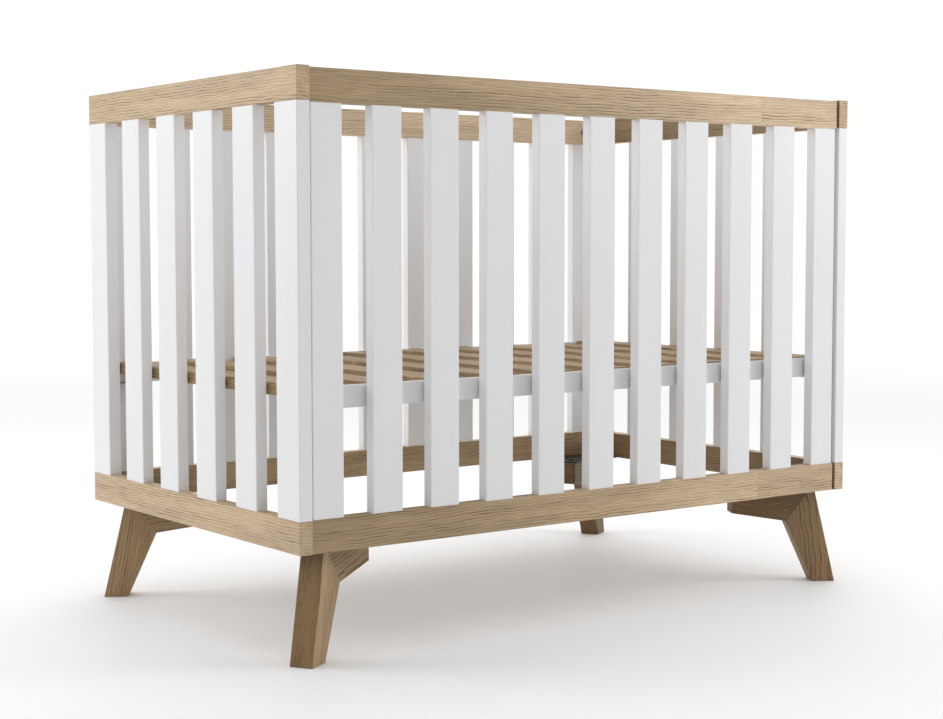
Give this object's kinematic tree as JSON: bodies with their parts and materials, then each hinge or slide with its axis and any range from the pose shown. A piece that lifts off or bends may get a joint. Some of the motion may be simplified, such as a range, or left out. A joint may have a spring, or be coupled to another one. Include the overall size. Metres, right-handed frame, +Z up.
{
  "type": "baby crib",
  "caption": "Slatted baby crib with wooden rails, white slats, splayed mitred legs and a slatted mattress base that lifts out.",
  "frame": {"origin": "on the floor, under the middle of the crib", "axes": "+X along the length towards the right-hand end, +Y from the front side panel to the back one, +Z up"},
  "size_m": [1.25, 0.756, 0.946],
  "materials": {
    "oak_rail": "oiled, satin",
    "oak_leg": "oiled, satin",
    "oak_slat": "oiled, satin",
    "white_paint": "white paint, satin",
    "beech": "raw",
    "zinc_plated_steel": "zinc plated",
    "cast_zinc": "as cast"
  },
  "bodies": {
    "crib_frame": {"left_end_top_rail": "oak_rail", "left_end_bottom_rail": "oak_rail", "left_end_post_front": "white_paint", "left_end_post_back": "white_paint", "left_end_slat_1": "white_paint", "left_end_slat_2": "white_paint", "left_end_slat_3": "white_paint", "left_end_slat_4": "white_paint", "right_end_top_rail": "oak_rail", "right_end_bottom_rail": "oak_rail", "right_end_post_front": "white_paint", "right_end_post_back": "white_paint", "right_end_slat_1": "white_paint", "right_end_slat_2": "white_paint", "right_end_slat_3": "white_paint", "right_end_slat_4": "white_paint", "front_top_rail": "oak_rail", "front_bottom_rail": "oak_rail", "front_slat_01": "white_paint", "front_slat_02": "white_paint", "front_slat_03": "white_paint", "front_slat_04": "white_paint", "front_slat_05": "white_paint", "front_slat_06": "white_paint", "front_slat_07": "white_paint", "front_slat_08": "white_paint", "front_slat_09": "white_paint", "front_slat_10": "white_paint", "front_slat_11": "white_paint", "back_top_rail": "oak_rail", "back_bottom_rail": "oak_rail", "back_slat_01": "white_paint", "back_slat_02": "white_paint", "back_slat_03": "white_paint", "back_slat_04": "white_paint", "back_slat_05": "white_paint", "back_slat_06": "white_paint", "back_slat_07": "white_paint", "back_slat_08": "white_paint", "back_slat_09": "white_paint", "back_slat_10": "white_paint", "back_slat_11": "white_paint", "leg_front_left": "oak_leg", "leg_bracket_front_left": "oak_leg", "leg_back_left": "oak_leg", "leg_bracket_back_left": "oak_leg", "leg_front_right": "oak_leg", "leg_bracket_front_right": "oak_leg", "leg_back_right": "oak_leg", "leg_bracket_back_right": "oak_leg", "leg_plates": "zinc_plated_steel", "leg_bolts": "zinc_plated_steel", "plate_screws": "zinc_plated_steel", "cam_fittings": "cast_zinc", "dowels": "beech", "base_supports": "zinc_plated_steel", "support_bolts": "zinc_plated_steel"},
    "mattress_base": {"base_side_rail_front": "white_paint", "base_side_rail_back": "white_paint", "base_slats": "oak_slat"}
  },
  "joints": [
    {"name": "base_lift", "type": "slide", "parent": "crib_frame", "child": "mattress_base", "axis": [0, 0, 1], "range_m": [0, 0.54]}
  ]
}
